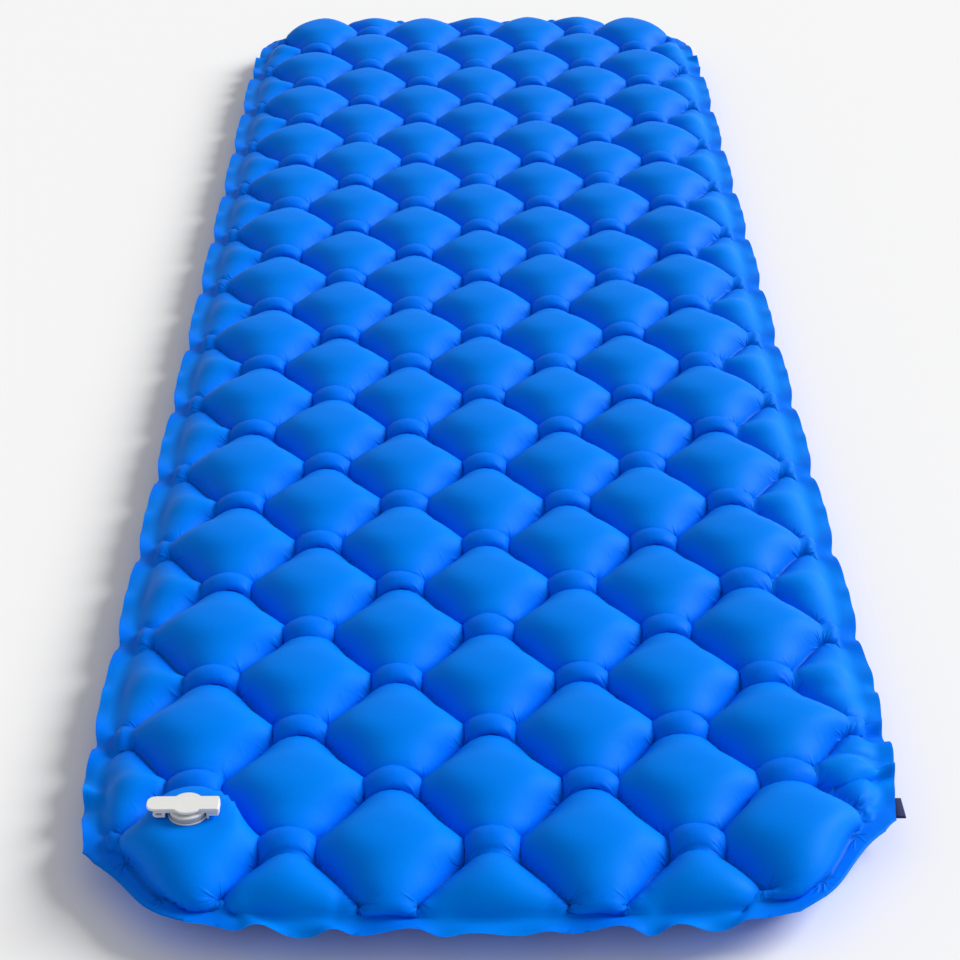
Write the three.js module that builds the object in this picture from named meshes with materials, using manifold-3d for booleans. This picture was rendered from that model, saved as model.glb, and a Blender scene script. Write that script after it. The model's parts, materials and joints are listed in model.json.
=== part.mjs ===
// An inflatable sleeping pad: two films welded together in a lattice of
// diamond cells, with a two-stage lever valve at one corner.
// Millimetres, +Z up. X runs across the pad and Y along it. The origin is on
// the floor, under the middle of the pad.
import * as THREE from 'three';
import { mergeVertices } from 'three/addons/utils/BufferGeometryUtils.js';
import Module from 'manifold-3d';

const wasm = await Module();
wasm.setup();

// The pad
const CELL_WIDTH = 144;
const CELL_LENGTH = 134;
const CELLS_ACROSS = 4;
const CELLS_ALONG = 14;
const FLANGE = 12;
const PAD_HEIGHT = 56;
const FILM = 1;
const GAP = 0.3;

// How high each place in a cell stands, as a share of a crown
const RIDGE_RISE = 0.82;
const FLAT_RISE = 1;
const JUNCTION_RISE = 0.45;

// Where a weld ends, from the middle of the junction cell it points at,
// in half cells across and along
const WELD_END = [0.29, 0.214];

// The lattice is counted in half cells: columns across, rows along
const HALF_ACROSS = CELLS_ACROSS;
const ROWS = 2 * CELLS_ALONG;
const MIDDLE_HEIGHT = PAD_HEIGHT / 2;
const INNER_CROWN = MIDDLE_HEIGHT - FILM - GAP / 2;

// The valve, near the crown of the corner cell at the left of the near end.
// Heights are above the top film.
const VALVE_COLUMN = 1 - HALF_ACROSS;
const VALVE_ROW = 1;
const VALVE_OFFSET = [2, 14];
const SEAT_RADIUS = 13;
const SEAT_BORE = 10.8;
const SEAT_TOP = 4.1;
const SEAT_FLANGE_RADIUS = 21;
const SEAT_FLANGE_THICKNESS = 1.2;
const SEAT_FLANGE_TOP = -FILM - GAP;
const NECK_GAP = 0.4;

const COLLAR_INNER = SEAT_RADIUS + GAP;
const COLLAR_OUTER = 14.1;
const COLLAR_BOTTOM = GAP;
const COLLAR_TOP = 1.5;

const COLLAR_RISER = [13.6, 15.2];
const COLLAR_ARM_BOTTOM = 3.2;

// The collar's arm and both levers end at this side, where thin webs join them
const HINGE_X = 22;
const LOWER_HINGE_Z = 5.4;
const UPPER_HINGE_Z = 7.65;
const HINGE_GAP = 0.2;
const ARM_WIDTH = 13;

const DEFLATE_RADIUS = 13.3;
const DEFLATE_BOTTOM = 4.4;
const DEFLATE_TOP = 6.2;
const DEFLATE_ARM_TOP = 7.3;
const PLUG_RADIUS = 9.7;
const PLUG_BOTTOM = -1.6;
const PORT_RADIUS = 7;
const HUB_RADIUS = 2.8;
const HUB_HOLE = 1.6;
const HUB_THICKNESS = 1.2;
const SPOKES = 3;
const SPOKE_WIDTH = 1.8;

const LOOP_END = -24;
const LOOP_ROOT = -15.5;
const LOOP_BOTTOM = 1.9;
const LOOP_SLOT = [-22.2, -17.6];
const LOOP_SLOT_HEIGHT = 2;
const GRIP_BOTTOM = 5.9;

const LEVER_END = -28.5;
const LEVER_WIDTH = 14.5;
const LEVER_BOTTOM = 7.95;
const LEVER_TOP = 10;
const LEVER_CORNER = 5.5;
const LEVER_SQUARE_CORNER = 1.2;
const LEVER_DISC_RADIUS = 11.5;
const STOPPER_RADIUS = 6.6;
const STOPPER_BOTTOM = 5;
const STOPPER_WALL = 1.4;

const FLAP_RADIUS = 8.8;
const FLAP_THICKNESS = 0.8;
const FLAP_TOP = PLUG_BOTTOM - GAP;
const STEM_RADIUS = 1.2;
const STEM_HEAD_RADIUS = 2.3;
const STEM_HEAD_BOTTOM = 1.4;
const STEM_HEAD_TOP = 2.3;

// The webbing tab under the flange near the right corner
const TAB_WIDTH = 11;
const TAB_LENGTH = 22;
const TAB_THICKNESS = 1.6;
const TAB_Y = -819;

const ROUND_STEPS = 48;
const FINE_STEPS = 32;

const film = new THREE.Color(0.0, 0.22, 0.8);
const materials = {
  film: new THREE.MeshStandardMaterial({ color: film, roughness: 0.42, metalness: 0 }),
  cap: new THREE.MeshStandardMaterial({ color: 0xeeeeea, roughness: 0.45, metalness: 0 }),
  seat: new THREE.MeshStandardMaterial({ color: 0xb4b9b8, roughness: 0.5, metalness: 0 }),
  flap: new THREE.MeshStandardMaterial({ color: 0xd9dcdb, roughness: 0.6, metalness: 0 }),
  webbing: new THREE.MeshStandardMaterial({ color: 0x0a1a66, roughness: 0.9, metalness: 0 }),
};

const pad = new THREE.Group();

function add(name, geometry, material, parent = pad) {
  const mesh = new THREE.Mesh(geometry, material.clone());
  mesh.name = name;
  parent.add(mesh);
  return mesh;
}

// Joining and cutting

function solid(geometry) {
  const bare = geometry.clone();
  bare.deleteAttribute('normal');
  bare.deleteAttribute('uv');
  const merged = mergeVertices(bare, 1e-4);
  return new wasm.Manifold(new wasm.Mesh({
    numProp: 3,
    vertProperties: new Float32Array(merged.attributes.position.array),
    triVerts: new Uint32Array(merged.index.array),
  }));
}

function geometryOf(manifold) {
  const { vertProperties, triVerts } = manifold.getMesh();
  const geometry = new THREE.BufferGeometry();
  geometry.setAttribute('position', new THREE.BufferAttribute(vertProperties, 3));
  geometry.setIndex(new THREE.BufferAttribute(triVerts, 1));
  geometry.computeVertexNormals();
  return geometry;
}

function join(first, ...others) {
  return others.reduce((whole, other) => whole.add(other), first);
}

// Plain shapes with their axis or thickness along Z

function turned(profile, steps = ROUND_STEPS) {
  const points = profile.map(([radius, z]) => new THREE.Vector2(radius, z));
  return solid(new THREE.LatheGeometry(points, steps).rotateX(Math.PI / 2));
}

function disc(radius, bottom, top, steps = ROUND_STEPS) {
  return turned([[0, bottom], [radius, bottom], [radius, top], [0, top]], steps);
}

function ring(inner, outer, bottom, top, steps = ROUND_STEPS) {
  const profile = [[inner, bottom], [outer, bottom], [outer, top], [inner, top], [inner, bottom]];
  return turned(profile, steps);
}

function block(minX, maxX, width, bottom, top) {
  const box = new THREE.BoxGeometry(maxX - minX, width, top - bottom);
  return solid(box.translate((minX + maxX) / 2, 0, (bottom + top) / 2));
}

// A flat bar along X, with its corners rounded at each end

function bar(minX, maxX, width, bottom, top, minCorner, maxCorner) {
  const half = width / 2;
  const outline = new THREE.Shape();
  outline.moveTo(minX + minCorner, -half);
  outline.lineTo(maxX - maxCorner, -half);
  outline.absarc(maxX - maxCorner, maxCorner - half, maxCorner, -Math.PI / 2, 0);
  outline.absarc(maxX - maxCorner, half - maxCorner, maxCorner, 0, Math.PI / 2);
  outline.absarc(minX + minCorner, half - minCorner, minCorner, Math.PI / 2, Math.PI);
  outline.absarc(minX + minCorner, minCorner - half, minCorner, Math.PI, 1.5 * Math.PI);
  const options = { depth: top - bottom, bevelEnabled: false, curveSegments: 6 };
  return solid(new THREE.ExtrudeGeometry(outline, options).translate(0, 0, bottom));
}

// The films. A lattice point is the crown of a diamond cell where its column
// and row add up to an even number, and a small junction cell where they
// don't. The crowns and junctions on the outline are welded flat.

function isCrown(column, row) {
  return (column + row) % 2 === 0;
}

function onOutline(column, row) {
  return Math.abs(column) === HALF_ACROSS || row === 0 || row === ROWS;
}

function rise(column, row, ridgeRise) {
  if (onOutline(column, row)) return 0;
  if (!Number.isInteger(column) || !Number.isInteger(row)) return ridgeRise(column, row);
  return isCrown(column, row) ? 1 : JUNCTION_RISE;
}

// The crown that the valve stands on and the ridge points round it: they are
// moved with the valve, so that the film is flat all round it

function nearValve(column, row) {
  return Math.abs(column - VALVE_COLUMN) + Math.abs(row - VALVE_ROW) < 1;
}

// The half of a lattice square on a crown's side of the weld, as a list of
// lattice points around it: crown, ridge, junction, both weld ends, junction,
// ridge

function halfSquare(crown, towards) {
  const [column, row] = crown;
  const [stepX, stepY] = towards;
  return [
    [column, row],
    [column + stepX / 2, row],
    [column + stepX, row],
    [column + stepX * (1 - WELD_END[0]), row + stepY * WELD_END[1], true],
    [column + stepX * WELD_END[0], row + stepY * (1 - WELD_END[1]), true],
    [column, row + stepY],
    [column, row + stepY / 2],
  ];
}

const HALF_SQUARE_FACES = [[0, 1, 6], [1, 2, 3], [1, 3, 4], [1, 4, 6], [6, 4, 5]];

function outsideChamfer(column, row) {
  return Math.abs(column) === HALF_ACROSS && (row === 0 || row === ROWS);
}

// The film seen from above, as points with a rise and counter-clockwise faces

function filmPlan(ridgeRise) {
  const points = [];
  const faces = [];
  const known = new Map();
  function pointAt([column, row, welded]) {
    const key = `${column.toFixed(3)},${row.toFixed(3)}`;
    if (!known.has(key)) {
      const [offsetX, offsetY] = !welded && nearValve(column, row) ? VALVE_OFFSET : [0, 0];
      known.set(key, points.length);
      points.push({
        x: column * CELL_WIDTH / 2 + offsetX,
        y: (row - ROWS / 2) * CELL_LENGTH / 2 + offsetY,
        rise: welded ? 0 : rise(column, row, ridgeRise),
      });
    }
    return known.get(key);
  }
  for (let column = -HALF_ACROSS; column <= HALF_ACROSS; column += 1) {
    for (let row = 0; row <= ROWS; row += 1) {
      if (!isCrown(column, row) || outsideChamfer(column, row)) continue;
      for (const towards of [[1, 1], [-1, 1], [-1, -1], [1, -1]]) {
        if (Math.abs(column + towards[0]) > HALF_ACROSS) continue;
        if (row + towards[1] < 0 || row + towards[1] > ROWS) continue;
        const corners = halfSquare([column, row], towards).map(pointAt);
        const turn = towards[0] * towards[1] > 0;
        for (const [a, b, c] of HALF_SQUARE_FACES) {
          const face = turn ? [a, b, c] : [a, c, b];
          faces.push(face.map((corner) => corners[corner]));
        }
      }
    }
  }
  return { points, faces };
}

// The edges that only one face uses, as a map from each point to the next one
// round the outline

function outline(faces) {
  const edges = new Map();
  for (const [a, b, c] of faces) {
    for (const [from, to] of [[a, b], [b, c], [c, a]]) edges.set(`${from},${to}`, [from, to]);
  }
  const next = new Map();
  for (const [from, to] of edges.values()) {
    if (!edges.has(`${to},${from}`)) next.set(from, to);
  }
  return next;
}

// The flat welded flange: each outline point moved straight out, so that the
// flange has the same width all round

function addFlange({ points, faces }) {
  const next = outline(faces);
  const before = new Map([...next].map(([from, to]) => [to, from]));
  const outward = (from, to) => new THREE.Vector2(
    points[to].y - points[from].y,
    points[from].x - points[to].x,
  ).normalize();
  const outer = new Map();
  for (const [index, following] of next) {
    const one = outward(before.get(index), index);
    const other = outward(index, following);
    const across = one.clone().add(other);
    across.multiplyScalar(FLANGE / (1 + one.dot(other)));
    outer.set(index, points.length);
    points.push({ x: points[index].x + across.x, y: points[index].y + across.y, rise: 0 });
  }
  for (const [from, to] of next) {
    faces.push([from, outer.get(from), outer.get(to)]);
    faces.push([from, outer.get(to), to]);
  }
}

// A film of even thickness over the plan. side is 1 for the top film and -1
// for the bottom one, its mirror image under the middle plane

function quiltedFilm(side, ridgeRise) {
  const plan = filmPlan(ridgeRise);
  addFlange(plan);
  const { points, faces } = plan;
  const positions = [];
  for (const skin of [0, FILM]) {
    for (const point of points) {
      const height = GAP / 2 + point.rise * INNER_CROWN + skin;
      positions.push(point.x, point.y, MIDDLE_HEIGHT + side * height);
    }
  }
  const outerSkin = points.length;
  const triangles = [];
  for (const [a, b, c] of faces) {
    triangles.push([a, c, b], [a + outerSkin, b + outerSkin, c + outerSkin]);
  }
  for (const [from, to] of outline(faces)) {
    triangles.push([from, to, to + outerSkin], [from, to + outerSkin, from + outerSkin]);
  }
  const geometry = new THREE.BufferGeometry();
  geometry.setAttribute('position', new THREE.Float32BufferAttribute(positions, 3));
  geometry.setIndex(triangles.flatMap(([a, b, c]) => (side > 0 ? [a, b, c] : [a, c, b])));
  geometry.computeVertexNormals();
  return geometry;
}

const valve = new THREE.Group();
valve.position.set(
  VALVE_COLUMN * CELL_WIDTH / 2 + VALVE_OFFSET[0],
  (VALVE_ROW - ROWS / 2) * CELL_LENGTH / 2 + VALVE_OFFSET[1],
  PAD_HEIGHT,
);
pad.add(valve);

// The top film is flat where the valve is welded into it, and has a round hole
// for the valve's neck. The bottom film's cells stand flat on the floor.

const topRidge = (column, row) => (nearValve(column, row) ? FLAT_RISE : RIDGE_RISE);
const neckHole = disc(SEAT_RADIUS + NECK_GAP, -3 * FILM, 2 * FILM)
  .translate([valve.position.x, valve.position.y, valve.position.z]);
add('top_sheet', geometryOf(solid(quiltedFilm(1, topRidge)).subtract(neckHole)), materials.film);
add('bottom_sheet', quiltedFilm(-1, () => FLAT_RISE), materials.film);

// The valve seat: a neck with a wide flange that is welded inside the film

function valveSeat() {
  const flangeBottom = SEAT_FLANGE_TOP - SEAT_FLANGE_THICKNESS;
  const profile = [
    [SEAT_BORE, flangeBottom],
    [SEAT_FLANGE_RADIUS, flangeBottom],
    [SEAT_FLANGE_RADIUS, SEAT_FLANGE_TOP],
    [SEAT_RADIUS, SEAT_FLANGE_TOP],
    [SEAT_RADIUS, SEAT_TOP],
    [SEAT_BORE, SEAT_TOP],
    [SEAT_BORE, flangeBottom],
  ];
  return geometryOf(turned(profile));
}

// The collar that holds the cap moulding round the neck, with the arm that
// its lower hinge hangs on

function tetherCollar() {
  const hoop = ring(COLLAR_INNER, COLLAR_OUTER, COLLAR_BOTTOM, COLLAR_TOP);
  const armTop = LOWER_HINGE_Z - HINGE_GAP;
  const riser = block(...COLLAR_RISER, ARM_WIDTH, COLLAR_BOTTOM, armTop);
  const arm = block(COLLAR_RISER[0], HINGE_X, ARM_WIDTH, COLLAR_ARM_BOTTOM, armTop);
  return geometryOf(join(hoop, riser, arm));
}

// The pull loop of the deflate cap, seen from the side: a round-ended block
// with a slot through it

function roundEnded(outline, minX, maxX, middle, radius) {
  outline.moveTo(maxX, middle - radius);
  outline.lineTo(maxX, middle + radius);
  outline.absarc(minX + radius, middle, radius, Math.PI / 2, 1.5 * Math.PI);
  return outline;
}

function pullLoop() {
  const middle = (LOOP_BOTTOM + DEFLATE_ARM_TOP) / 2;
  const radius = (DEFLATE_ARM_TOP - LOOP_BOTTOM) / 2;
  const outline = roundEnded(new THREE.Shape(), LOOP_END, LOOP_ROOT, middle, radius);
  outline.holes.push(roundEnded(new THREE.Path(), ...LOOP_SLOT, middle, LOOP_SLOT_HEIGHT / 2));
  const options = { depth: ARM_WIDTH, bevelEnabled: false, curveSegments: 10 };
  const loop = new THREE.ExtrudeGeometry(outline, options);
  return solid(loop.rotateX(Math.PI / 2).translate(0, ARM_WIDTH / 2, 0));
}

// The deflate cap: a hollow plug that fills the neck, with a spider across its
// port for the flap's stem, a pull loop at one side and a lever arm at the other

function deflateCap() {
  const plate = disc(DEFLATE_RADIUS, DEFLATE_BOTTOM, DEFLATE_TOP);
  const plug = disc(PLUG_RADIUS, PLUG_BOTTOM, DEFLATE_BOTTOM + GAP);
  const armBottom = LOWER_HINGE_Z + HINGE_GAP;
  const arm = block(PORT_RADIUS, HINGE_X, ARM_WIDTH, armBottom, DEFLATE_ARM_TOP);
  const grip = block(LOOP_ROOT - 1, -PORT_RADIUS, ARM_WIDTH, GRIP_BOTTOM, DEFLATE_ARM_TOP);
  const port = disc(PORT_RADIUS, PLUG_BOTTOM - 1, DEFLATE_ARM_TOP + 1);
  const hubTop = PLUG_BOTTOM + HUB_THICKNESS;
  const hub = disc(HUB_RADIUS, PLUG_BOTTOM, hubTop, FINE_STEPS);
  const spokes = [];
  for (let spoke = 0; spoke < SPOKES; spoke += 1) {
    const strip = block(0, PORT_RADIUS + 1, SPOKE_WIDTH, PLUG_BOTTOM, hubTop);
    spokes.push(strip.rotate([0, 0, spoke * 360 / SPOKES]));
  }
  const stemHole = disc(HUB_HOLE, PLUG_BOTTOM - 1, hubTop + 1, FINE_STEPS);
  const body = join(plate, plug, arm, grip, pullLoop()).subtract(port);
  return geometryOf(join(body, hub, ...spokes).subtract(stemHole));
}

// The inflate cap: a lever with a round disc over the port, and a hollow
// stopper under it

function inflateCap() {
  const lever = bar(
    LEVER_END,
    HINGE_X,
    LEVER_WIDTH,
    LEVER_BOTTOM,
    LEVER_TOP,
    LEVER_CORNER,
    LEVER_SQUARE_CORNER,
  );
  const cover = disc(LEVER_DISC_RADIUS, LEVER_BOTTOM, LEVER_TOP);
  const stopper = disc(STOPPER_RADIUS, STOPPER_BOTTOM, LEVER_BOTTOM + GAP);
  const hollow = disc(STOPPER_RADIUS - STOPPER_WALL, STOPPER_BOTTOM - 1, LEVER_BOTTOM, FINE_STEPS);
  return geometryOf(join(lever, cover, stopper).subtract(hollow));
}

// The one-way flap: a soft disc under the port, with a stem and a round head
// through the spider

function checkFlap() {
  const profile = [
    [0, FLAP_TOP - FLAP_THICKNESS],
    [FLAP_RADIUS, FLAP_TOP - FLAP_THICKNESS],
    [FLAP_RADIUS, FLAP_TOP],
    [STEM_RADIUS, FLAP_TOP],
    [STEM_RADIUS, STEM_HEAD_BOTTOM],
    [STEM_HEAD_RADIUS, STEM_HEAD_BOTTOM],
    [STEM_RADIUS, STEM_HEAD_TOP],
    [0, STEM_HEAD_TOP],
  ];
  return geometryOf(turned(profile, FINE_STEPS));
}

add('valve_seat', valveSeat(), materials.seat, valve);
add('tether_collar', tetherCollar(), materials.cap, valve);
add('deflate_cap', deflateCap(), materials.cap, valve);
add('inflate_cap', inflateCap(), materials.cap, valve);
add('check_flap', checkFlap(), materials.flap, valve);

// The folded webbing tab on the underside of the flange

const tab = add(
  'corner_tab',
  new THREE.BoxGeometry(TAB_WIDTH, TAB_LENGTH, TAB_THICKNESS),
  materials.webbing,
);
tab.position.set(
  CELLS_ACROSS * CELL_WIDTH / 2 + FLANGE - TAB_WIDTH / 2,
  TAB_Y,
  MIDDLE_HEIGHT - GAP / 2 - FILM - GAP - TAB_THICKNESS / 2,
);

export default pad;
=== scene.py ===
import math
import json

import bpy
import numpy as np
from mathutils import Matrix, Vector


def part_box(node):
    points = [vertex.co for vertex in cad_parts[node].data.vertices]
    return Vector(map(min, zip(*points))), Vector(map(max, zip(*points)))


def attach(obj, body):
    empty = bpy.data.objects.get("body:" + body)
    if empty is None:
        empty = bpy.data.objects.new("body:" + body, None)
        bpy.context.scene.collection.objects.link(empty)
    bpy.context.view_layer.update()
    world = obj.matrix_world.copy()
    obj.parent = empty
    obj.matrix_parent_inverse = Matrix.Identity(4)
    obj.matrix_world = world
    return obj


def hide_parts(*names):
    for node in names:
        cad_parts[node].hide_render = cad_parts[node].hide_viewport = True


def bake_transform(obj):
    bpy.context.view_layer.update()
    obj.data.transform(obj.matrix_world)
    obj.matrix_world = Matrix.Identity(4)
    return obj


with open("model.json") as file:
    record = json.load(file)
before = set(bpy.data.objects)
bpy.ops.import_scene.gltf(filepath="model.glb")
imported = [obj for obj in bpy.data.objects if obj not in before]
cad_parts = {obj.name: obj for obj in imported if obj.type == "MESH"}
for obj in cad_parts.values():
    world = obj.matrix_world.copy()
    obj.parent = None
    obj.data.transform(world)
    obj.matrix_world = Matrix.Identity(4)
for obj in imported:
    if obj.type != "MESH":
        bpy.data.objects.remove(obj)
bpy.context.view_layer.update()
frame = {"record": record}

MM = 0.001

# The pad's lattice, as in the CAD model: half cells across and along, inside the flange
HALF_ACROSS, HALF_ALONG = 8, 28
FLANGE = 12 * MM
FLANGE_PART = 4                         # the flange has a half cell's grid steps over this
PAD_LOW, PAD_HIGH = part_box("bottom_sheet")[0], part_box("top_sheet")[1]
HALF_WIDTH = (PAD_HIGH[0] - PAD_LOW[0] - 2 * FLANGE) / HALF_ACROSS
HALF_LENGTH = (PAD_HIGH[1] - PAD_LOW[1] - 2 * FLANGE) / HALF_ALONG
MIDDLE_Z = (PAD_LOW[2] + PAD_HIGH[2]) / 2
HALF_HEIGHT = (PAD_HIGH[2] - PAD_LOW[2]) / 2

# The valve stands over the middle of its seat
SEAT_LOW, SEAT_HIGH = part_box("valve_seat")
VALVE_X = (SEAT_LOW[0] + SEAT_HIGH[0]) / 2
VALVE_Y = (SEAT_LOW[1] + SEAT_HIGH[1]) / 2

JOINTS = {joint["name"]: joint for joint in frame["record"]["behaviour"]["joints"]}


def new_piece(name, mesh):
    piece = bpy.data.objects.new(name, mesh)
    bpy.context.collection.objects.link(piece)
    return piece


# ---------------------------------------------------------------- the films
# Both films are cut flat, welded along the lattice and blown up. Arrays are
# (x y z, film, row, column), and film 0 is the top one and film 1 the bottom one.
# Places on the lattice, u across and v along, are counted in half cells from the
# corner by the valve. Full cells and junction cells take turns on its whole numbers.

# The flat cut, over the blown-up pad's size
BODY_CUT, FLANGE_CUT = 1.18, 1.07
UNEVEN = 0.012                          # how much the cut varies over the pad
UNEVEN_WAVES = ((1.9, 1.1), (-2.7, 1.3))   # its waves, in radians to a half cell in u and v
JUNCTION_CUT = 0.16                     # what is added to the cut at the junction cells
JUNCTION_REACH = 0.35                   # how far that goes, in half cells

# The welds run diagonally over the half cells, and stop short of their corners
PLAIN_WELD_END = 0.25                   # where they stop on the grid
WELD_END = (0.29, 0.214)                # where they stop on the pad, across and along

# The solver
LEVELS = ((4, 400), (8, 300), (16, 260))   # the grid's steps to a half cell, and the rounds
PUSH = 0.04                             # the air's push in a round
CARRY = 0.96                            # the share of its last move that a point keeps
RESIST_BODY, RESIST_FLANGE = 0.02, 0.5  # how much a thread resists being pushed together
BIAS_PULL, BIAS_RESIST = 0.08, 0.5      # the diagonal threads' strength, over the others'
BENDING, BENDING_FLANGE = 0.001, 0.12   # the share of a bend that a round takes out
TINY = 1e-9                             # keeps a length of 0 from dividing

# The share of its way back to its place that a point on a weld, on the fold at the
# flange's inner side or on the flange's edge goes in a round: sideways, then upright
HOLD_WELD, HOLD_FOLD, HOLD_EDGE = 0.2, 0.03, 0.004
LEVEL_WELD, LEVEL_FOLD = 0.3, 0.02

# The shape that the solver starts from
START_HEIGHT = 0.7 * HALF_HEIGHT        # of the full cells' crowns
JUNCTION_START = 0.75                   # of the junction cells' crowns, over the full cells'
RIPPLE = 3.0 * MM                       # what corners and junction cells add to the flange's waves
PLAIN_RIPPLE = 0.4                      # the waves all along the flange, over RIPPLE
SEED = 5

# The outline swells at each full cell, dips at each junction cell and is drawn in at
# the corners
SCALLOP = 3.0 * MM
JUNCTION_DIP = 1.6                      # taken off the swell at a junction cell, over SCALLOP
CORNER_PULL = 9.0 * MM

# The crowns are eased down above this height over the pad's middle
CROWN_START, CROWN_PULL = 24 * MM, 0.003

# The corner by the tab is drawn in, and the flange is held down on the tab. Corner, seam
# and reaches are in half cells.
TAB_CORNER, TAB_REACH = (8, 1), (1.0, 1.8)
TAB_PULL = (1 * MM, 26 * MM, 2 * MM)
TAB_SEAM, TAB_SEAM_REACH = (8.1, 1.4), 0.2
TAB_HOLD, TAB_DROP = 0.4, 1.1 * MM

# The top film lies flat on the valve's seat, and the neck comes through a hole in it
FLAT_RADIUS, FLAT_BLEND = 21.6 * MM, 3.5 * MM
HOLE_RADIUS = 13.2 * MM
HOLE_MARGIN = 2 * MM                    # how far inside the hole a face may reach and stay

FILM_GAP = 0.2 * MM                     # from the middle of a weld to each film's face


def bell(off):
    """1 in the middle, and nearly 0 past 2."""
    return np.exp(-off * off)


def warped(t, weld_end):
    """Moves the welds' ends along one axis to weld_end, and leaves the lattice points."""
    return t + (weld_end - PLAIN_WELD_END) * np.sin(2 * np.pi * t)


def axis_places(index, steps, halves, half_size, weld_end):
    """The place of each grid line along one axis, with the flange outside the lattice."""
    inside = np.clip(index, 0, halves * steps)
    flange_steps = steps // FLANGE_PART
    place = (warped(inside / steps, weld_end) - halves / 2) * half_size
    return place + (index - inside) / flange_steps * FLANGE


def lay_out(steps):
    """The flat grid with that many steps to a half cell. For each of its points it says which
    parts of the films it is on, where it is held and how hard, and how high it starts."""
    margin = steps // FLANGE_PART
    columns = np.arange(-margin, HALF_ACROSS * steps + margin + 1)
    rows = np.arange(-margin, HALF_ALONG * steps + margin + 1)
    x = axis_places(columns, steps, HALF_ACROSS, HALF_WIDTH, WELD_END[0])
    y = axis_places(rows, steps, HALF_ALONG, HALF_LENGTH, WELD_END[1])
    row, column = np.meshgrid(rows, columns, indexing="ij")
    y, x = np.meshgrid(y, x, indexing="ij")
    from_side = np.minimum(column, HALF_ACROSS * steps - column)
    from_end = np.minimum(row, HALF_ALONG * steps - row)
    past_fold = np.maximum(np.maximum(-from_side, -from_end), steps - from_side - from_end)
    active = past_fold <= margin
    flange = past_fold >= 0
    along = (column % steps) / steps
    on_line = ((column - row) % (2 * steps) == steps) | ((column + row) % (2 * steps) == steps)
    line = on_line & (along >= PLAIN_WELD_END) & (along <= 1 - PLAIN_WELD_END)
    out = np.clip(past_fold / margin, 0, 1)
    hold = np.where(flange, HOLD_FOLD * (1 - out) + HOLD_EDGE * out, np.where(line, HOLD_WELD, 0))
    level = np.where(flange, LEVEL_FOLD * (1 - out), np.where(line, LEVEL_WELD, 0))
    u, v = column / steps, row / steps
    junction = bell(np.hypot(u - np.round(u), v - np.round(v)) / JUNCTION_REACH)
    junction = ((np.round(u) + np.round(v)) % 2) * junction
    corner = bell(np.maximum(0, (from_side + from_end) / steps - 1))
    by_tab = bell(np.hypot((u - TAB_CORNER[0]) / TAB_REACH[0], (v - TAB_CORNER[1]) / TAB_REACH[1]))
    seam = bell(np.hypot(u - TAB_SEAM[0], v - TAB_SEAM[1]) / TAB_SEAM_REACH) * flange
    past_seat = np.maximum(0, np.hypot(x - VALVE_X, y - VALVE_Y) - FLAT_RADIUS)
    swell = SCALLOP * (1 - JUNCTION_DIP * junction)
    at_side, at_end = (np.clip(1 - gap / steps, 0, 1) for gap in (from_side, from_end))
    cos_u, sin_u = np.abs(np.cos(np.pi * u / 2)), np.abs(np.sin(np.pi * u / 2))
    cos_v, sin_v = np.abs(np.cos(np.pi * v / 2)), np.abs(np.sin(np.pi * v / 2))
    bump = cos_u * cos_v + sin_u * sin_v + JUNCTION_START * (cos_u * sin_v + sin_u * cos_v)
    weld = flange | line
    pull = CORNER_PULL * corner
    return {
        "steps": steps, "x": x, "y": y, "u": u, "v": v, "active": active,
        "flange": flange, "weld": weld, "junction": junction, "corner": corner,
        "held_x": x + np.sign(x) * (at_side * swell - pull) + TAB_PULL[0] * by_tab,
        "held_y": y + np.sign(y) * (at_end * swell - pull) + TAB_PULL[1] * by_tab,
        "held_z": TAB_PULL[2] * by_tab * (1 - seam) - TAB_DROP * seam,
        "hold": (np.maximum(hold, TAB_HOLD * seam) * active).astype("f4"),
        "level": (np.maximum(level, TAB_HOLD * seam) * active).astype("f4"),
        "bump": np.where(weld | ~active, 0, bump),
        "on_seat": bell(past_seat / FLAT_BLEND).astype("f4"),
    }


def threads(grid):
    """The films' threads, in eight sets. No two threads of a set share a point. Each set is both
    ends' slices, the threads' flat length, the share of an error that each end takes up, and how
    much of it they resist when they are pushed together."""
    active, flange, u, v = grid["active"], grid["flange"], grid["u"], grid["v"]
    rows, columns = active.shape
    waves = sum(np.sin(per_u * u + per_v * v) for per_u, per_v in UNEVEN_WAVES)
    body_cut = BODY_CUT * (1 + UNEVEN * waves) + JUNCTION_CUT * grid["junction"]
    cut = np.where(flange, FLANGE_CUT, body_cut)
    sets = []
    for down, across in ((0, 1), (1, 0), (1, 1), (1, -1)):
        for parity in (0, 1):
            if down:
                row_a, row_b = slice(parity, rows - 1, 2), slice(parity + 1, rows, 2)
                column_a = slice(max(0, -across), columns - max(0, across))
                column_b = slice(max(0, across), columns - max(0, -across))
            else:
                row_a = row_b = slice(0, rows)
                column_a, column_b = slice(parity, columns - 1, 2), slice(parity + 1, columns, 2)
            a, b = (row_a, column_a), (row_b, column_b)
            both = flange[a] & flange[b]
            flat = np.hypot(grid["x"][b] - grid["x"][a], grid["y"][b] - grid["y"][a])
            length = flat * np.where(both, FLANGE_CUT, np.maximum(cut[a], cut[b]))
            share = 0.5 * (active[a] & active[b])
            resist = np.where(both, RESIST_FLANGE, RESIST_BODY)
            if down and across:
                share, resist = share * BIAS_PULL, resist * BIAS_RESIST
            sets.append((a, b, length.astype("f4"), share.astype("f4"), resist.astype("f4")))
    return sets


def area_normals(points, step):
    """The area normal at each point, in steps squared, facing up on both films."""
    along_row, along_column = np.zeros_like(points), np.zeros_like(points)
    along_row[..., 1:-1] = points[..., 2:] - points[..., :-2]
    along_column[..., 1:-1, :] = points[..., 2:, :] - points[..., :-2, :]
    return np.cross(along_row, along_column, axis=0) / (4 * step * step)


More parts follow.
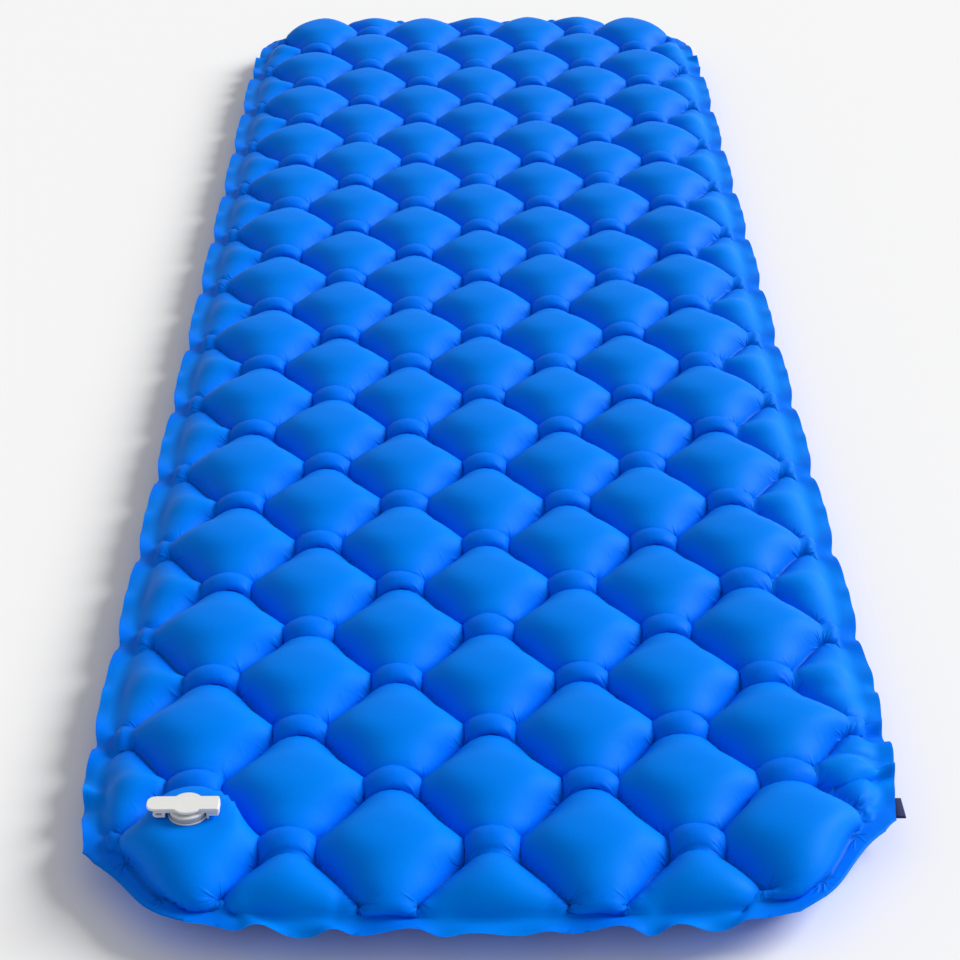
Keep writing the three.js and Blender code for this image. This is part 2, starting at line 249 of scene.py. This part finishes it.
def straighten(points, active, bending):
    """Takes a share of the bend out of each run of three points, in place."""
    for axis in (2, 3):
        before, middle, after = [[slice(None)] * 4 for _ in range(3)]
        before[axis], middle[axis], after[axis] = slice(0, -2), slice(1, -1), slice(2, None)
        before, middle, after = tuple(before), tuple(middle), tuple(after)
        inside = active[before[2:]] * active[middle[2:]] * active[after[2:]]
        bow = ((points[before] + points[after]) / 2 - points[middle]) * inside * bending[middle[2:]]
        points[middle] += bow
        points[before] -= bow / 2
        points[after] -= bow / 2


def blow_up(points, grid, rounds):
    """The shape that the welded films take from the air in that many rounds."""
    step = HALF_WIDTH / grid["steps"]
    push = PUSH / grid["steps"] * step
    active, weld = grid["active"].astype("f4"), grid["weld"]
    bending = np.where(grid["flange"], BENDING_FLANGE, BENDING).astype("f4")
    held = [grid[key] for key in ("held_x", "held_y", "held_z")]
    held = np.stack(held)[:, None].astype("f4")
    hold = np.stack([grid["hold"], grid["hold"], grid["level"]])[:, None]
    sets = threads(grid)
    before = points.copy()
    for _ in range(rounds):
        air = area_normals(points, step)
        air[:, 1] *= -1
        moved = (points - before) * CARRY + air * push
        before = points.copy()
        points = points + moved * active
        for a, b, length, share, resist in sets:
            end_a, end_b = points[(..., *a)], points[(..., *b)]
            apart = end_b - end_a
            error = 1 - length / (np.sqrt((apart * apart).sum(0)) + TINY)
            apart *= np.where(error < 0, error * resist, error) * share
            end_a += apart
            end_b -= apart
        straighten(points, active, bending)
        points += (held - points) * hold
        points = np.where(weld, points.mean(1, keepdims=True), points)
        points[2, 0] -= CROWN_PULL * np.maximum(0, points[2, 0] - CROWN_START)
        points[2, 1] = np.maximum(points[2, 1], -HALF_HEIGHT)
        points[2, 0] += (HALF_HEIGHT - points[2, 0]) * grid["on_seat"]
    return points


def finer(points):
    """The same surface on a grid of half the step."""
    rows, columns = points.shape[2:]
    fine = np.zeros((3, 2, 2 * rows - 1, 2 * columns - 1), "f4")
    fine[..., ::2, ::2] = points
    fine[..., 1::2, ::2] = (points[..., :-1, :] + points[..., 1:, :]) / 2
    fine[..., 1::2] = (fine[..., :-2:2] + fine[..., 2::2]) / 2
    return fine


def inflated():
    """Both films blown up, and the grid they were laid out on."""
    chance = np.random.default_rng(SEED)
    points = None
    for steps, rounds in LEVELS:
        grid = lay_out(steps)
        start = np.zeros((3, 2, *grid["x"].shape), "f4")
        start[0], start[1] = grid["x"], grid["y"]
        start[2, 0] = START_HEIGHT * grid["bump"]
        start[2, 1] = -start[2, 0]
        waves = chance.standard_normal(grid["x"].shape) * grid["flange"]
        start[2] += RIPPLE * (PLAIN_RIPPLE + grid["junction"] + grid["corner"]) * waves
        if points is not None:
            start = np.where(grid["active"], finer(points), start)
        points = blow_up(start, grid, rounds)
    normals = area_normals(points, HALF_WIDTH / grid["steps"])
    normals /= np.sqrt((normals * normals).sum(0)) + TINY
    points[:, 0] += FILM_GAP * normals[:, 0]
    points[:, 1] -= FILM_GAP * normals[:, 1]
    points[2] += MIDDLE_Z
    return points, grid


def split_on_weld(face, welded):
    """A square that a weld crosses, cut in two along it, so that the weld is a straight line."""
    on = [welded[k] for k in face]
    if len(face) == 3 or sum(on) == 4:
        return [face]
    a, b, c, d = face
    if on[0] and on[2]:
        return [[a, b, c], [a, c, d]]
    if on[1] and on[3]:
        return [[b, c, d], [b, d, a]]
    return [face]


def cut_neck_hole(places, faces):
    """Leaves out the faces in the valve's neck, and pulls the hole's rim round."""
    radius = np.hypot(places[0] - VALVE_X, places[1] - VALVE_Y)
    gone = [min(radius[k] for k in face) < HOLE_RADIUS - HOLE_MARGIN for face in faces]
    rim = {k for face, out in zip(faces, gone) if out for k in face}
    kept = [face for face, out in zip(faces, gone) if not out]
    rim &= {k for face in kept for k in face}
    for k in rim:
        share = HOLE_RADIUS / radius[k]
        places[0, k] = VALVE_X + (places[0, k] - VALVE_X) * share
        places[1, k] = VALVE_Y + (places[1, k] - VALVE_Y) * share
    return kept


def cut_edge(faces, other, first):
    """Faces from one film's outline to the other film's, whose points are numbered from first."""
    edges = dict.fromkeys((a, b) for face in faces for a, b in zip(face, face[1:] + face[:1]))
    return [[b, a, other[a] + first, other[b] + first] for a, b in edges if (b, a) not in edges]


def film_mesh(name, points, grid, side):
    """A mesh of one film, with the lattice as its UV map. The top film's mesh also has the
    flange's cut edge, down to the bottom film."""
    active = grid["active"]
    number = np.full(active.shape, -1)
    number[active] = np.arange(active.sum())
    welded = grid["weld"][active]
    corners = [number[:-1, :-1], number[:-1, 1:], number[1:, 1:], number[1:, :-1]]
    faces = []
    for face in np.stack(corners, -1).reshape(-1, 4).tolist():
        kept = [k for k in face if k >= 0]
        if len(kept) >= 3:
            faces += split_on_weld(kept if side == 0 else kept[::-1], welded)
    places = points[:, side, active].astype(float)
    uv = np.stack([grid["u"][active], grid["v"][active]], -1)
    if side == 0:
        edge = cut_edge(faces, np.arange(len(uv)), len(uv))
        faces = cut_neck_hole(places, faces) + edge
        places = np.concatenate([places, points[:, 1, active]], 1)
        uv = np.concatenate([uv, uv])
    used = np.unique(np.concatenate([np.array(face) for face in faces]))
    renumber = np.full(places.shape[1], -1)
    renumber[used] = np.arange(len(used))
    faces = [renumber[face].tolist() for face in faces]
    mesh = bpy.data.meshes.new(name)
    mesh.from_pydata(places[:, used].T.tolist(), [], faces)
    loops = np.zeros(len(mesh.loops), int)
    mesh.loops.foreach_get("vertex_index", loops)
    layer = mesh.uv_layers.new(name="lattice")
    layer.data.foreach_set("uv", uv[used][loops].ravel())
    mesh.shade_smooth()
    return mesh


# ---------------------------------------------------------------- materials

class Nodes:
    """A material and short calls that add nodes to it."""

    def __init__(self, name):
        self.material = bpy.data.materials.new(name)
        self.material.use_nodes = True
        self.tree = self.material.node_tree
        self.shader = self.tree.nodes["Principled BSDF"]

    def add(self, kind, inputs=None, **settings):
        node = self.tree.nodes.new(kind)
        for key, value in settings.items():
            setattr(node, key, value)
        for key, value in (inputs or {}).items():
            self.feed(node.inputs[key], value)
        return node

    def feed(self, socket, value):
        if isinstance(value, bpy.types.NodeSocket):
            self.tree.links.new(value, socket)
        else:
            socket.default_value = value

    def math(self, operation, *values):
        node = self.add("ShaderNodeMath", operation=operation)
        for socket, value in zip(node.inputs, values):
            self.feed(socket, value)
        return node.outputs[0]

    def mix(self, factor, one, other):
        """A mix of two colours. The node names its colour sockets like its number sockets, so
        they are found by their places."""
        node = self.add("ShaderNodeMix", data_type="RGBA")
        self.feed(node.inputs["Factor"], factor)
        self.feed(node.inputs[6], one)
        self.feed(node.inputs[7], other)
        return node.outputs[2]

    def ramp(self, value, low, high, to_low=0.0, to_high=1.0):
        """A smooth step from to_low, where the value is low, to to_high, where it is high."""
        inputs = {"Value": value, "From Min": low, "From Max": high}
        inputs.update({"To Min": to_low, "To Max": to_high})
        return self.add("ShaderNodeMapRange", inputs, interpolation_type="SMOOTHSTEP").outputs[0]

    def fade(self, value, full, gone):
        """1 where the value is under full, and 0 where it is over gone."""
        return self.ramp(value, full, gone, 1.0, 0.0)

    def vary(self, value, base, swing):
        """From base, where the value is 0, to base and swing together, where it is 1."""
        return self.math("MULTIPLY_ADD", value, swing, base)

    def noise(self, place, scale, detail=3.0, roughness=0.5):
        inputs = {"Vector": place, "Scale": scale, "Detail": detail, "Roughness": roughness}
        return self.add("ShaderNodeTexNoise", inputs).outputs[0]

    def place(self):
        return self.add("ShaderNodeTexCoord").outputs["Object"]

    def bump(self, height, distance, strength=1.0, normal=None):
        node = self.add("ShaderNodeBump", {"Height": height, "Strength": strength, "Distance": distance})
        if normal is not None:
            self.feed(node.inputs["Normal"], normal)
        return node.outputs[0]

    def set(self, **sockets):
        """Feeds the shader's sockets, with _ for each space in their names."""
        for key, value in sockets.items():
            self.feed(self.shader.inputs[key.replace("_", " ")], value)
        return self.material


def weave(nodes, place, thread):
    """The height of a plain weave that repeats at that length, from 0 to 1."""
    axes = nodes.add("ShaderNodeSeparateXYZ", {"Vector": place}).outputs
    turns = 2 * math.pi / thread
    warp = nodes.math("SINE", nodes.math("MULTIPLY", axes[0], turns))
    weft = nodes.math("SINE", nodes.math("MULTIPLY", axes[1], turns))
    return nodes.math("MULTIPLY_ADD", nodes.math("MULTIPLY", warp, weft), 0.5, 0.5)


# Small pleats fan out from both ends of each weld. Lengths are in half cells.
PLEAT_CENTRE = 0.01                     # keeps the middle of a fan from dividing by 0
PLEAT_SCALE = 2.6                       # how closely they follow each other round the fan
PLEAT_RISE = (0.5, 0.68)                # the noise at a pleat's foot and at its top
PLEAT_LENGTH = (0.04, 0.26)             # where they start to fade out and where they end
PLEAT_SEED = (0.9, 0.53)                # makes the fans differ over the pad
PLEAT_EDGE = 0.1                        # the rim inside the flange where they fade out


def weld_pleats(nodes, axes):
    """The height of the pleats at the welds' ends, from 0 to 1."""
    away = []
    for axis in axes[:2]:
        off_middle = nodes.math("ABSOLUTE", nodes.math("SUBTRACT", nodes.math("FRACT", axis), 0.5))
        away.append(nodes.math("SUBTRACT", off_middle, PLAIN_WELD_END))
    squares = [nodes.math("MULTIPLY", reach, reach) for reach in away]
    far = nodes.math("SQRT", nodes.math("ADD", *squares))
    fan = [nodes.math("DIVIDE", reach, nodes.math("ADD", far, PLEAT_CENTRE)) for reach in away]
    cell = nodes.math("MULTIPLY", axes[1], PLEAT_SEED[1])
    cell = nodes.math("MULTIPLY_ADD", axes[0], PLEAT_SEED[0], cell)
    spot = nodes.add("ShaderNodeCombineXYZ", {"X": fan[0], "Y": fan[1], "Z": cell}).outputs[0]
    folds = nodes.ramp(nodes.noise(spot, PLEAT_SCALE, detail=1.0), *PLEAT_RISE)
    folds = nodes.math("MULTIPLY", folds, nodes.fade(far, *PLEAT_LENGTH))
    for axis, halves in zip(axes[:2], (HALF_ACROSS, HALF_ALONG)):
        off_middle = nodes.math("ABSOLUTE", nodes.math("SUBTRACT", axis, halves / 2))
        inside = nodes.fade(off_middle, halves / 2 - PLEAT_EDGE, halves / 2)
        folds = nodes.math("MULTIPLY", folds, inside)
    return folds


BLUE, LIGHT_BLUE = (0.0, 0.205, 0.89, 1), (0.0, 0.235, 0.95, 1)
VALLEY_SHADE_BLUE = (0.0, 0.13, 0.95, 1)    # painted valley shade beside the welds: a deeper, purer blue
# painted shade in the creases along the welds
CREASE_SHADE_BLUE = (0.0, 0.09, 0.5, 1)
SPECK_BLUE = (0.0, 0.12, 0.62, 1)
GLOSS_BLUE = (0.0, 0.5, 1.0, 1)
WELD_SHADE_SHARE = 0.45                        # the share of the painted shade colours by the welds
SPECK_TINT, SPECK_RISE = 0.16, (0.35, 0.75)   # the noise where specks start and are full

# Where each thing starts to fade out and where it ends, in half cells across the pad:
# to the side of a weld's middle line, and along the weld from its middle
WELD_SIDE, WELD_LENGTH = (0.035, 0.06), (0.24, 0.29)
NEAR_WELD_SIDE, PLEAT_SIDE = (0.05, 0.5), (0.1, 0.35)


def coated_nylon(name):
    """Laminated nylon: a fine weave under a smooth satin coat, pressed flat along the welds, with
    painted shade along and beside the welds.
    """
    nodes = Nodes(name)
    place = nodes.place()
    lattice = nodes.add("ShaderNodeUVMap", uv_map="lattice").outputs[0]
    axes = nodes.add("ShaderNodeSeparateXYZ", {"Vector": lattice}).outputs
    nearest = None
    for operation in ("ADD", "SUBTRACT"):
        across = nodes.math(operation, axes[0], axes[1])
        across = nodes.math("SUBTRACT", nodes.math("FLOORED_MODULO", across, 2.0), 1.0)
        across = nodes.math("ABSOLUTE", across)
        nearest = across if nearest is None else nodes.math("MINIMUM", nearest, across)
    middle = nodes.math("ABSOLUTE", nodes.math("SUBTRACT", nodes.math("FRACT", axes[0]), 0.5))
    weld = nodes.math("MULTIPLY", nodes.fade(nearest, *WELD_SIDE), nodes.fade(middle, *WELD_LENGTH))
    near_weld = nodes.fade(nearest, *NEAR_WELD_SIDE)
    clouds = nodes.noise(place, scale=7.0)
    specks = nodes.noise(place, scale=900.0, detail=2.0)
    blue = nodes.mix(clouds, BLUE, LIGHT_BLUE)
    # painted valley shade: a deeper, purer blue on the slopes beside the welds
    blue = nodes.mix(nodes.math("MULTIPLY", near_weld, WELD_SHADE_SHARE), blue, VALLEY_SHADE_BLUE)
    # painted crease shade: a dark blue along each weld's line
    blue = nodes.mix(nodes.math("MULTIPLY", weld, WELD_SHADE_SHARE), blue, CREASE_SHADE_BLUE)
    blue = nodes.mix(nodes.ramp(specks, *SPECK_RISE, to_high=SPECK_TINT), blue, SPECK_BLUE)
    rough = nodes.vary(clouds, base=0.4, swing=0.12)
    rough = nodes.vary(weld, base=rough, swing=-0.1)
    puckers = nodes.math("MULTIPLY", nodes.noise(place, scale=55.0, detail=2.0), near_weld)
    pleats = nodes.math("MULTIPLY", weld_pleats(nodes, axes), nodes.fade(nearest, *PLEAT_SIDE))
    grain = nodes.noise(place, scale=210.0)
    cloth = weave(nodes, place, 0.7 * MM)
    normal = nodes.bump(pleats, distance=1.6 * MM, strength=0.8)
    normal = nodes.bump(puckers, distance=1.6 * MM, strength=0.5, normal=normal)
    normal = nodes.bump(grain, distance=0.12 * MM, strength=0.5, normal=normal)
    normal = nodes.bump(cloth, distance=0.04 * MM, strength=0.35, normal=normal)
    nodes.set(Specular_Tint=GLOSS_BLUE, Specular_IOR_Level=0.12, IOR=1.35)
    return nodes.set(Base_Color=blue, Roughness=rough, Normal=normal)


WHITE, DARKER_WHITE = (0.86, 0.86, 0.84, 1), (0.66, 0.66, 0.63, 1)
GREY, DARKER_GREY = (0.50, 0.52, 0.52, 1), (0.36, 0.38, 0.38, 1)
FLOW_TINT = 0.35                        # the share of the darker colour in the flow clouds
HOLLOW_POINTINESS = (0.46, 0.49)        # in a deep hollow, and where none is left
HOLLOW_DARKENING = 0.3                       # the share of the darker colour in a deep hollow


def moulded_plastic(name, colour, darker_tone, roughness):
    """Injection-moulded plastic: a fine sparked skin, faint flow clouds and a darker colour in the
    hollows.
    """
    nodes = Nodes(name)
    place = nodes.place()
    flow = nodes.noise(place, scale=120.0, detail=2.0)
    pointiness = nodes.add("ShaderNodeNewGeometry").outputs["Pointiness"]
    hollows = nodes.ramp(pointiness, *HOLLOW_POINTINESS, HOLLOW_DARKENING, 0.0)
    tone = nodes.mix(nodes.math("MULTIPLY", flow, FLOW_TINT), colour, darker_tone)
    # darker in the hollows, where the surface curves inwards
    tone = nodes.mix(hollows, tone, darker_tone)
    rough = nodes.vary(flow, base=roughness, swing=0.14)
    sparks = nodes.noise(place, scale=2600.0, detail=2.0)
    normal = nodes.bump(sparks, distance=0.03 * MM, strength=0.35)
    return nodes.set(Base_Color=tone, Roughness=rough, Normal=normal)


CLEAR_GREY, DUSTY_GREY = (0.52, 0.54, 0.54, 1), (0.66, 0.68, 0.68, 1)


def silicone(name):
    """Soft silicone rubber, a little translucent, with dust on it."""
    nodes = Nodes(name)
    dust = nodes.noise(nodes.place(), scale=800.0, detail=4.0)
    tone = nodes.mix(dust, CLEAR_GREY, DUSTY_GREY)
    rough = nodes.vary(dust, base=0.5, swing=0.2)
    normal = nodes.bump(dust, distance=0.04 * MM, strength=0.4)
    nodes.set(Subsurface_Weight=0.15, Subsurface_Scale=1 * MM)
    return nodes.set(Base_Color=tone, Roughness=rough, Normal=normal)


NAVY, LIGHT_NAVY = (0.001, 0.004, 0.05, 1), (0.004, 0.015, 0.16, 1)
FUZZ_NAVY, FUZZ_TINT = (0.01, 0.03, 0.22, 1), 0.3


def webbing(name):
    """Woven polyester tape with a little fuzz."""
    nodes = Nodes(name)
    place = nodes.place()
    cloth = weave(nodes, place, 1.4 * MM)
    fuzz = nodes.noise(place, scale=1500.0)
    tone = nodes.mix(cloth, NAVY, LIGHT_NAVY)
    tone = nodes.mix(nodes.math("MULTIPLY", fuzz, FUZZ_TINT), tone, FUZZ_NAVY)
    normal = nodes.bump(cloth, distance=0.25 * MM, strength=0.8)
    normal = nodes.bump(fuzz, distance=0.06 * MM, strength=0.5, normal=normal)
    return nodes.set(Base_Color=tone, Roughness=0.85, Normal=normal, Sheen_Weight=0.2)


# ---------------------------------------------------------------- the valve

VOXEL = 0.25 * MM                       # of the remesh that rounds the mouldings' edges


def applied(piece):
    """Gives a piece the mesh that its modifiers make."""
    graph = bpy.context.evaluated_depsgraph_get()
    mesh = bpy.data.meshes.new_from_object(piece.evaluated_get(graph))
    piece.modifiers.clear()
    piece.data = mesh
    return piece


def moulding(name, node, body, material, rounding=6):
    """A moulded piece: the CAD solid with its edges rounded as a mould leaves them."""
    source = bpy.data.objects[node]
    piece = new_piece(name, source.data.copy())
    piece.data.materials.clear()
    remesh = piece.modifiers.new("skin", "REMESH")
    remesh.mode = "VOXEL"
    remesh.voxel_size = VOXEL
    soften = piece.modifiers.new("round", "SMOOTH")
    soften.factor = 0.5
    soften.iterations = rounding
    applied(piece)
    piece.data.shade_smooth()
    piece.data.materials.append(material)
    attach(piece, body)
    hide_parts(node)
    return piece


WEB_WIDTH = 11.5 * MM
WEB_THICKNESS = 0.5 * MM
WEB_WAIST = 0.6                         # the thickness at its middle, over that at its ends
WEB_HOLLOW = 0.25 * MM                  # how far its ends stand to the left of the hinge's axis
WEB_REACH = 0.9 * MM                    # from its middle to its ends
WEB_STEPS = 12


def hinge_web(name, joint_name, material):
    """The thin bending web that joins two mouldings at a hinge: an upright strip, thinned at
    its middle, where its left face touches the hinge's axis."""
    joint = JOINTS[joint_name]
    x, y, z = joint["pos_m"]
    shares = [2 * step / WEB_STEPS - 1 for step in range(WEB_STEPS + 1)]
    ring = []
    for share in shares:
        waist = WEB_WAIST + (1 - WEB_WAIST) * share ** 2
        ring.append((x + WEB_THICKNESS * waist, z + WEB_REACH * share))
    for share in reversed(shares):
        ring.append((x - WEB_HOLLOW * share ** 2, z + WEB_REACH * share))
    count = len(ring)
    places = [(px, y + side * WEB_WIDTH / 2, pz) for side in (-1, 1) for px, pz in ring]
    faces = [list(range(count)), list(range(2 * count - 1, count - 1, -1))]
    for k in range(count):
        after = (k + 1) % count
        faces.append([after, k, k + count, after + count])
    mesh = bpy.data.meshes.new(name)
    mesh.from_pydata(places, [], faces)
    piece = new_piece(name, mesh)
    mesh.materials.append(material)
    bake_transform(piece)
    return piece


# ---------------------------------------------------------------- the tab

TAPE = 0.7 * MM                         # the height that each of its two layers takes
TAPE_THICKNESS = 0.9 * TAPE
TAPE_STEPS = 10                         # round the fold
TAPE_ROWS = 14
TAPE_SAG = 0.15 * MM
TAPE_WAVES = (5, 400)                   # of the sag, in radians: over the tab's width, to a metre out


def folded_tab(material):
    """A tape folded once, with its fold outwards, under the flange."""
    low, high = [Vector(corner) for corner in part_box("corner_tab")]
    middle = (low.z + high.z) / 2
    radius = (high.z - low.z) / 2
    fold_x = high.x - radius
    centre = [(low.x, middle - radius + TAPE / 2)]
    for step in range(TAPE_STEPS + 1):
        turn = math.pi * step / TAPE_STEPS - math.pi / 2
        reach = radius - TAPE / 2
        centre.append((fold_x + reach * math.cos(turn), middle + reach * math.sin(turn)))
    centre.append((low.x, middle + radius - TAPE / 2))
    places, faces = [], []
    for px, pz in centre:
        for row in range(TAPE_ROWS + 1):
            share = row / TAPE_ROWS
            sag = TAPE_SAG * math.sin(TAPE_WAVES[0] * share + TAPE_WAVES[1] * px)
            places.append((px, low.y + (high.y - low.y) * share, pz + sag))
    for line in range(len(centre) - 1):
        for row in range(TAPE_ROWS):
            a = line * (TAPE_ROWS + 1) + row
            faces.append([a, a + 1, a + TAPE_ROWS + 2, a + TAPE_ROWS + 1])
    mesh = bpy.data.meshes.new("webbing_tab")
    mesh.from_pydata(places, [], faces)
    mesh.shade_smooth()
    piece = new_piece("webbing_tab", mesh)
    mesh.materials.append(material)
    thicken = piece.modifiers.new("tape", "SOLIDIFY")
    thicken.thickness = TAPE_THICKNESS
    thicken.offset = 0
    applied(piece)
    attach(piece, "pad")
    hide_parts("corner_tab")
    return piece


# ---------------------------------------------------------------- the stage

CAMERA_PLACE = (-0.0148, -2.085, 1.038)
CAMERA_PITCH, CAMERA_YAW, CAMERA_ROLL = 30.1, 0.34, 0.23   # degrees down, right and clockwise
CAMERA_LENS, CAMERA_SENSOR = 82.7, 36   # in millimetres
FLOOR_REACH = 8


def camera():
    """The camera, above the valve's end and looking along the pad."""
    data = bpy.data.cameras.new("camera")
    data.sensor_width = CAMERA_SENSOR
    data.lens = CAMERA_LENS
    piece = new_piece("camera", data)
    pitch, yaw, roll = (math.radians(turn) for turn in (CAMERA_PITCH, CAMERA_YAW, CAMERA_ROLL))
    turn = Matrix.Rotation(-yaw, 4, "Z") @ Matrix.Rotation(math.pi / 2 - pitch, 4, "X")
    turn = turn @ Matrix.Rotation(-roll, 4, "Z")
    piece.matrix_world = Matrix.Translation(CAMERA_PLACE) @ turn
    bpy.context.scene.camera = piece


def floor():
    """A plain pale floor under the pad."""
    corners = [(x * FLOOR_REACH, y * FLOOR_REACH, 0) for x, y in ((-1, -1), (1, -1), (1, 1), (-1, 1))]
    mesh = bpy.data.meshes.new("floor")
    mesh.from_pydata(corners, [], [(0, 1, 2, 3)])
    piece = new_piece("floor", mesh)
    nodes = Nodes("floor")
    mesh.materials.append(nodes.set(Base_Color=(0.97, 0.97, 0.97, 1), Roughness=0.9))


def lamp(name, toward, strength, spread):
    """A wide, even light that shines along toward, with its spread in degrees."""
    data = bpy.data.lights.new(name, "SUN")
    data.energy = strength
    data.angle = math.radians(spread)
    piece = new_piece(name, data)
    piece.rotation_euler = Vector(toward).to_track_quat("-Z", "Y").to_euler()


def sky(strength):
    """A plain white light from all round."""
    world = bpy.data.worlds.new("world")
    world.use_nodes = True
    background = world.node_tree.nodes["Background"].inputs
    background["Color"].default_value = (1, 1, 1, 1)
    background["Strength"].default_value = strength
    bpy.context.scene.world = world


# ---------------------------------------------------------------- the scene

def films():
    """Both films, as they lie on the floor when they are blown up."""
    points, grid = inflated()
    material = coated_nylon("coated_nylon")
    for name, side, node, slot in (
        ("top_film", 0, "top_sheet", "film_top"),
        ("bottom_film", 1, "bottom_sheet", "film_bottom"),
    ):
        mesh = film_mesh(name, points, grid, side)
        mesh.materials.append(material)
        piece = new_piece(name, mesh)
        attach(piece, "pad")
        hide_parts(node)


def valve():
    """The valve's mouldings, the webs between them and the soft flap inside."""
    white = moulded_plastic("white_plastic", WHITE, DARKER_WHITE, roughness=0.32)
    grey = moulded_plastic("grey_plastic", GREY, DARKER_GREY, roughness=0.4)
    moulding("neck", "valve_seat", "pad", grey)
    moulding("collar", "tether_collar", "pad", white)
    moulding("lower_lever", "deflate_cap", "deflate_lever", white)
    moulding("upper_lever", "inflate_cap", "inflate_lever", white, rounding=10)
    moulding("one_way_flap", "check_flap", "flap", silicone("silicone"))
    hinge_web("lower_web", "deflate_hinge", white)
    hinge_web("upper_web", "inflate_hinge", white)


bpy.context.scene.view_settings.view_transform = "Standard"
camera()
floor()
lamp("key", toward=(-0.8, -0.34, -0.52), strength=3.3, spread=32)
sky(strength=0.41)
films()
valve()
folded_tab(webbing("webbing"))
